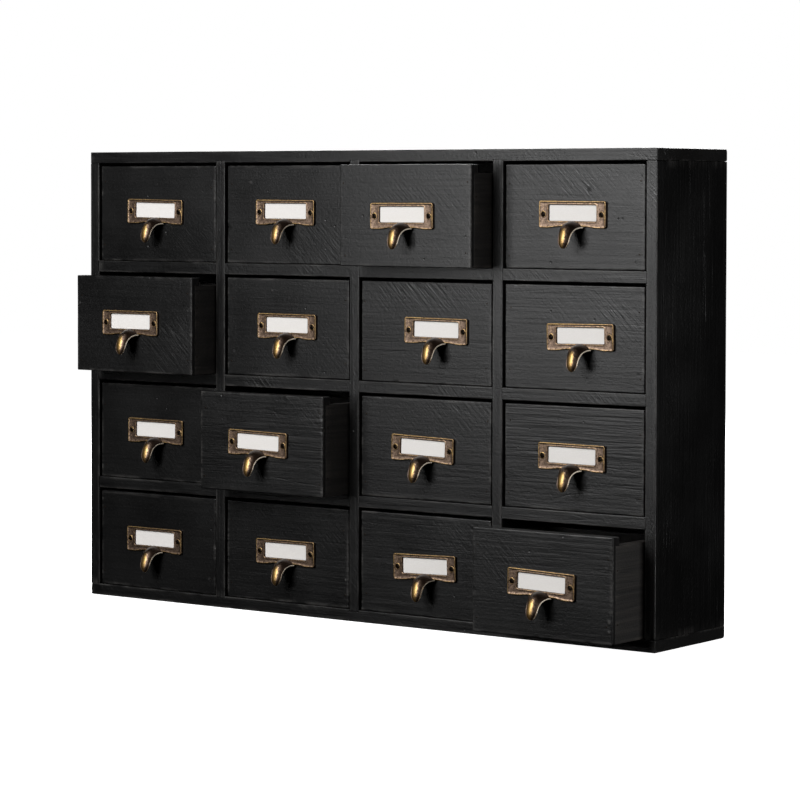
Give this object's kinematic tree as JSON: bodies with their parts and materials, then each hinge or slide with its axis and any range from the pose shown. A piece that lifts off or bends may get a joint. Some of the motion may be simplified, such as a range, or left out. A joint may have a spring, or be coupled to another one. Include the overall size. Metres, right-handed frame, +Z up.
{
  "type": "apothecary cabinet",
  "caption": "Shallow black wooden apothecary cabinet: a case of thin boards divided into a grid of small sliding drawers, each with a brass label holder and curved finger pull.",
  "frame": {"origin": "centre of the case's underside, where it rests", "axes": "+Z up, +X along the front to the right as seen from the front, -Y out of the drawer fronts"},
  "size_m": [0.6, 0.1669, 0.4],
  "materials": {
    "black_wood": "matte black paint or stain over brushed softwood, grain and saw marks showing, edges rubbed lighter",
    "tray_wood": "thin dark brown-grey wash on rough softwood",
    "back_board": "thin board painted matte black",
    "antique_brass": "dark brown patina with rims and tip rubbed bright",
    "label_card": "plain off-white card, blank",
    "dark_steel": "blackened screws and nails"
  },
  "bodies": {
    "case": {"top_board": "black_wood", "bottom_board": "black_wood", "left_side": "black_wood", "right_side": "black_wood", "divider_1": "black_wood", "divider_2": "black_wood", "divider_3": "black_wood", "shelf_1": "black_wood", "shelf_2": "black_wood", "shelf_3": "black_wood", "back_panel": "back_board"},
    "drawer_r1c1": {"drawer_front_r1c1": "black_wood", "drawer_tray_r1c1": "tray_wood", "label_pull_r1c1": "antique_brass"},
    "drawer_r1c2": {"drawer_front_r1c2": "black_wood", "drawer_tray_r1c2": "tray_wood", "label_pull_r1c2": "antique_brass"},
    "drawer_r1c3": {"drawer_front_r1c3": "black_wood", "drawer_tray_r1c3": "tray_wood", "label_pull_r1c3": "antique_brass"},
    "drawer_r1c4": {"drawer_front_r1c4": "black_wood", "drawer_tray_r1c4": "tray_wood", "label_pull_r1c4": "antique_brass"},
    "drawer_r2c1": {"drawer_front_r2c1": "black_wood", "drawer_tray_r2c1": "tray_wood", "label_pull_r2c1": "antique_brass"},
    "drawer_r2c2": {"drawer_front_r2c2": "black_wood", "drawer_tray_r2c2": "tray_wood", "label_pull_r2c2": "antique_brass"},
    "drawer_r2c3": {"drawer_front_r2c3": "black_wood", "drawer_tray_r2c3": "tray_wood", "label_pull_r2c3": "antique_brass"},
    "drawer_r2c4": {"drawer_front_r2c4": "black_wood", "drawer_tray_r2c4": "tray_wood", "label_pull_r2c4": "antique_brass"},
    "drawer_r3c1": {"drawer_front_r3c1": "black_wood", "drawer_tray_r3c1": "tray_wood", "label_pull_r3c1": "antique_brass"},
    "drawer_r3c2": {"drawer_front_r3c2": "black_wood", "drawer_tray_r3c2": "tray_wood", "label_pull_r3c2": "antique_brass"},
    "drawer_r3c3": {"drawer_front_r3c3": "black_wood", "drawer_tray_r3c3": "tray_wood", "label_pull_r3c3": "antique_brass"},
    "drawer_r3c4": {"drawer_front_r3c4": "black_wood", "drawer_tray_r3c4": "tray_wood", "label_pull_r3c4": "antique_brass"},
    "drawer_r4c1": {"drawer_front_r4c1": "black_wood", "drawer_tray_r4c1": "tray_wood", "label_pull_r4c1": "antique_brass"},
    "drawer_r4c2": {"drawer_front_r4c2": "black_wood", "drawer_tray_r4c2": "tray_wood", "label_pull_r4c2": "antique_brass"},
    "drawer_r4c3": {"drawer_front_r4c3": "black_wood", "drawer_tray_r4c3": "tray_wood", "label_pull_r4c3": "antique_brass"},
    "drawer_r4c4": {"drawer_front_r4c4": "black_wood", "drawer_tray_r4c4": "tray_wood", "label_pull_r4c4": "antique_brass"}
  },
  "joints": [
    {"name": "drawer_r1c1_slide", "type": "slide", "parent": "case", "child": "drawer_r1c1", "axis": [0, -1, 0], "range_m": [0, 0.08]},
    {"name": "drawer_r1c2_slide", "type": "slide", "parent": "case", "child": "drawer_r1c2", "axis": [0, -1, 0], "range_m": [0, 0.08]},
    {"name": "drawer_r1c3_slide", "type": "slide", "parent": "case", "child": "drawer_r1c3", "axis": [0, -1, 0], "range_m": [-0.03, 0.05]},
    {"name": "drawer_r1c4_slide", "type": "slide", "parent": "case", "child": "drawer_r1c4", "axis": [0, -1, 0], "range_m": [0, 0.08]},
    {"name": "drawer_r2c1_slide", "type": "slide", "parent": "case", "child": "drawer_r2c1", "axis": [0, -1, 0], "range_m": [-0.0323, 0.0477]},
    {"name": "drawer_r2c2_slide", "type": "slide", "parent": "case", "child": "drawer_r2c2", "axis": [0, -1, 0], "range_m": [0, 0.08]},
    {"name": "drawer_r2c3_slide", "type": "slide", "parent": "case", "child": "drawer_r2c3", "axis": [0, -1, 0], "range_m": [0, 0.08]},
    {"name": "drawer_r2c4_slide", "type": "slide", "parent": "case", "child": "drawer_r2c4", "axis": [0, -1, 0], "range_m": [0, 0.08]},
    {"name": "drawer_r3c1_slide", "type": "slide", "parent": "case", "child": "drawer_r3c1", "axis": [0, -1, 0], "range_m": [0, 0.08]},
    {"name": "drawer_r3c2_slide", "type": "slide", "parent": "case", "child": "drawer_r3c2", "axis": [0, -1, 0], "range_m": [-0.0361, 0.0439]},
    {"name": "drawer_r3c3_slide", "type": "slide", "parent": "case", "child": "drawer_r3c3", "axis": [0, -1, 0], "range_m": [0, 0.08]},
    {"name": "drawer_r3c4_slide", "type": "slide", "parent": "case", "child": "drawer_r3c4", "axis": [0, -1, 0], "range_m": [0, 0.08]},
    {"name": "drawer_r4c1_slide", "type": "slide", "parent": "case", "child": "drawer_r4c1", "axis": [0, -1, 0], "range_m": [0, 0.08]},
    {"name": "drawer_r4c2_slide", "type": "slide", "parent": "case", "child": "drawer_r4c2", "axis": [0, -1, 0], "range_m": [0, 0.08]},
    {"name": "drawer_r4c3_slide", "type": "slide", "parent": "case", "child": "drawer_r4c3", "axis": [0, -1, 0], "range_m": [0, 0.08]},
    {"name": "drawer_r4c4_slide", "type": "slide", "parent": "case", "child": "drawer_r4c4", "axis": [0, -1, 0], "range_m": [-0.0454, 0.0346]}
  ]
}
